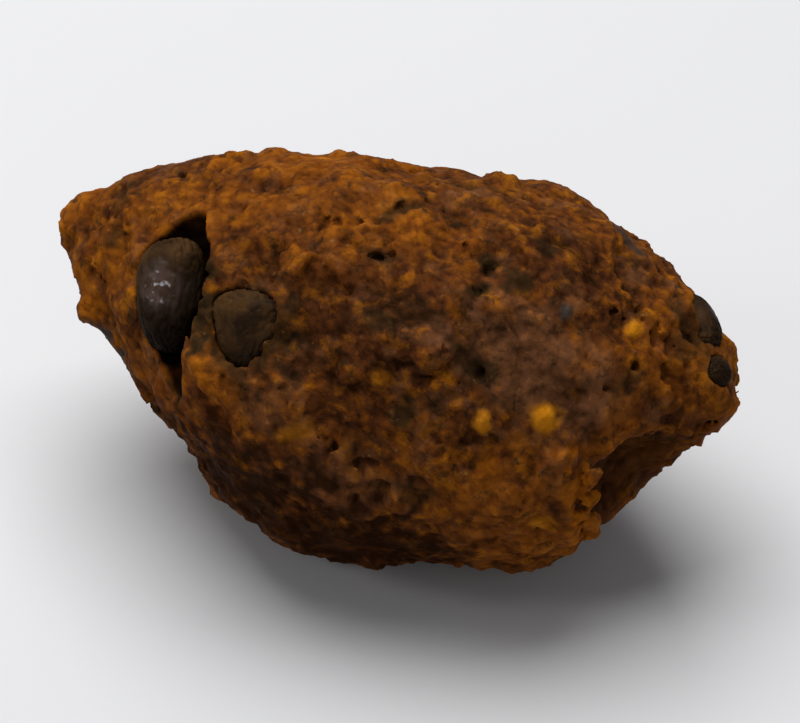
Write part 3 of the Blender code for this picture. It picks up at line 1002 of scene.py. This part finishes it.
def crust_colour(tree, place, tone):
    """The crust's colour: patches and specks of each kind, one over the other, then painted shade."""
    shades = {name: ramp(tree, tone, stops) for name, stops in CRUST_COLOURS.items()}
    dusky = spread(tree, noise_node(tree, place, 330, 3.0, 0.6, 0.4), 0.52, 0.68, 0.0, 0.75)
    colour = mixed(tree, dusky, shades["plain"], shades["plum"])
    warm = spread(tree, noise_node(tree, place, 640, 4.0, 0.65, 0.4), 0.52, 0.66, 0.0, 0.7)
    colour = mixed(tree, warm, colour, shades["amber"])
    # The char patches are partly burnt spots and partly painted shade in clefts and hollows
    for kind in ("plum", "rust", "char_and_shade"):
        colour = mixed(tree, attribute(tree, kind), colour, shades[kind])
    specks = spread(tree, noise_node(tree, place, 800, 4.0, 0.65, 0.3), 0.56, 0.68, 0.0, 0.80)
    colour = mixed(tree, specks, colour, shades["char_and_shade"])
    for kind in ("gold", "skin"):
        colour = mixed(tree, attribute(tree, kind), colour, shades[kind])
    light_bits = spread(tree, noise_node(tree, place, 1500, 1.0, 0.5), 0.70, 0.82, 0.0, 0.30)
    colour = mixed(tree, light_bits, colour, shades["cream"])
    # Painted shade: broad patches mixed towards the shaded colour
    colour = mixed(tree, spread(tree, attribute(tree, "painted_shade"), 0.5, 1, 0, 0.45), colour, shades["shaded"])
    # Painted shade in recesses: deep places are mixed towards the shaded colour
    colour = mixed(tree, spread(tree, attribute(tree, "deep"), 0, 1, 0, 0.92), colour, shades["shaded"])
    # Painted shade: the gaps beside the beans go near-black
    return mixed(tree, attribute(tree, "gap_shade"), colour, GAP_SHADE_COLOUR)


def crust_material():
    """Fried crust: orange-brown crests, near-black spots and a little oil, with painted shade in its
    hollows, recesses and gaps.
    """
    made, tree, shader, place = empty_material("crust")
    grains = noise_node(tree, place, 900, 4.0, 0.7)
    bits = add_node(tree, "ShaderNodeTexVoronoi", {"Vector": place, "Scale": 1700.0, "Randomness": 1.0})
    tone = crust_tone(tree, place, grains, bits)
    tree.links.new(crust_colour(tree, place, tone), shader.inputs["Base Color"])
    oil = noise_node(tree, place, 420, 3.0, 0.6)
    tree.links.new(spread(tree, oil, 0.35, 0.65, 0.50, 0.80), shader.inputs["Roughness"])
    shine = spread(tree, attribute(tree, "skin"), 0, 1, 0.012, 0.15)
    tree.links.new(shine, shader.inputs["Specular IOR Level"])
    shader.inputs["Specular Tint"].default_value = (1.0, 0.85, 0.65, 1)
    height = sums(tree, "ADD", grains, spread(tree, bits.outputs["Distance"], 0.1, 0.8, 0.35, 0.0))
    bump = add_node(tree, "ShaderNodeBump", {"Height": height, "Strength": 0.5, "Distance": 0.0003})
    tree.links.new(bump.outputs["Normal"], shader.inputs["Normal"])
    return made


def bean_material():
    """Cooked black bean: a dark brown skin, duller in places, with a wet middle whose sheen and glints are
    painted into the colour.
    """
    made, tree, shader, place = empty_material("bean")
    patches = noise_node(tree, place, 420, 4.0, 0.6, 0.4)
    tone = sums(tree, "ADD", attribute(tree, "tone"), spread(tree, patches, 0.3, 0.7, -0.30, 0.30))
    brown = ramp(tree, tone, BEAN_COLOURS)
    drops = spread(tree, noise_node(tree, place, 800, 2.0, 0.5), 0.36, 0.56, 0.3, 1.0)
    wet_and_sheen = sums(tree, "MULTIPLY", attribute(tree, "wet_and_sheen"), drops)
    # Painted sheen: the wet middle is mixed towards a paler greyish colour
    colour = mixed(tree, wet_and_sheen, brown, WET_SHEEN_COLOUR)
    # Painted highlights: pale glint specks in the wet middle
    painted_glints = spread(tree, noise_node(tree, place, 1500, 1.0, 0.5), 0.62, 0.70)
    painted_glints = sums(tree, "MULTIPLY", spread(tree, attribute(tree, "wet_and_sheen"), 0.55, 0.95), painted_glints)
    colour = mixed(tree, painted_glints, colour, PAINTED_GLINT_COLOUR)
    tree.links.new(colour, shader.inputs["Base Color"])
    tree.links.new(spread(tree, wet_and_sheen, 0, 1, 0.60, 0.30), shader.inputs["Roughness"])
    tree.links.new(spread(tree, wet_and_sheen, 0, 1, 0.03, 0.24), shader.inputs["Specular IOR Level"])
    wrinkles = noise_node(tree, place, 1400, 3.0, 0.6)
    bump = add_node(tree, "ShaderNodeBump", {"Height": wrinkles, "Strength": 0.4, "Distance": 0.0002})
    tree.links.new(bump.outputs["Normal"], shader.inputs["Normal"])
    return made


def look_at(thing, target):
    """Turns a camera or a light towards a point."""
    thing.rotation_euler = (target - thing.location).to_track_quat("-Z", "Y").to_euler()


def camera():
    """The camera, above the front, with the right end a little nearer."""
    data = bpy.data.cameras.new("camera")
    data.lens = CAMERA_LENS
    data.clip_start = 0.01
    made = bpy.data.objects.new("camera", data)
    bpy.context.scene.collection.objects.link(made)
    flat = math.cos(CAMERA_HEIGHT)
    way = Vector((math.sin(CAMERA_TURN) * flat, -math.cos(CAMERA_TURN) * flat, math.sin(CAMERA_HEIGHT)))
    made.location = CAMERA_AIM + way * CAMERA_DISTANCE
    look_at(made, CAMERA_AIM)
    bpy.context.scene.camera = made


def area_light(name, place, size, power):
    """A soft square light that faces the falafel."""
    data = bpy.data.lights.new(name, "AREA")
    data.size = size
    data.energy = power
    made = bpy.data.objects.new(name, data)
    bpy.context.scene.collection.objects.link(made)
    made.location = place
    look_at(made, Vector((0, 0, THICKNESS / 2)))


def studio():
    """A pale floor, a large soft light above and behind, two weaker ones, and a pale surround."""
    bm = bmesh.new()
    bmesh.ops.create_grid(bm, x_segments=1, y_segments=1, size=FLOOR_SIZE)
    mesh = bpy.data.meshes.new("floor")
    bm.to_mesh(mesh)
    bm.free()
    floor = bpy.data.objects.new("floor", mesh)
    bpy.context.scene.collection.objects.link(floor)
    floor.location.z = -FLOOR_DROP
    pale = bpy.data.materials.new("pale_floor")
    pale.use_nodes = True
    pale.node_tree.nodes["Principled BSDF"].inputs["Base Color"].default_value = FLOOR_COLOUR
    pale.node_tree.nodes["Principled BSDF"].inputs["Roughness"].default_value = 0.7
    mesh.materials.append(pale)
    for name, (place, size, power) in LIGHTS.items():
        area_light(name, place, size, power)
    world = bpy.data.worlds.new("surround")
    world.use_nodes = True
    world.node_tree.nodes["Background"].inputs["Color"].default_value = SURROUND_COLOUR
    world.node_tree.nodes["Background"].inputs["Strength"].default_value = SURROUND_STRENGTH
    bpy.context.scene.world = world
    bpy.context.scene.view_settings.view_transform = "Standard"


def build():
    """Makes every piece, hides the solids that they take the place of, and sets the stage."""
    shell = crust()
    shell.data.materials.append(crust_material())
    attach(shell, "root")
    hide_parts("falafel")
    skin = bean_material()
    for name, spec in BEANS.items():
        bean = bean_object(name, spec)
        bean.data.materials.append(skin)
        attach(bean, "root")
        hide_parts(name)
    camera()
    studio()


build()
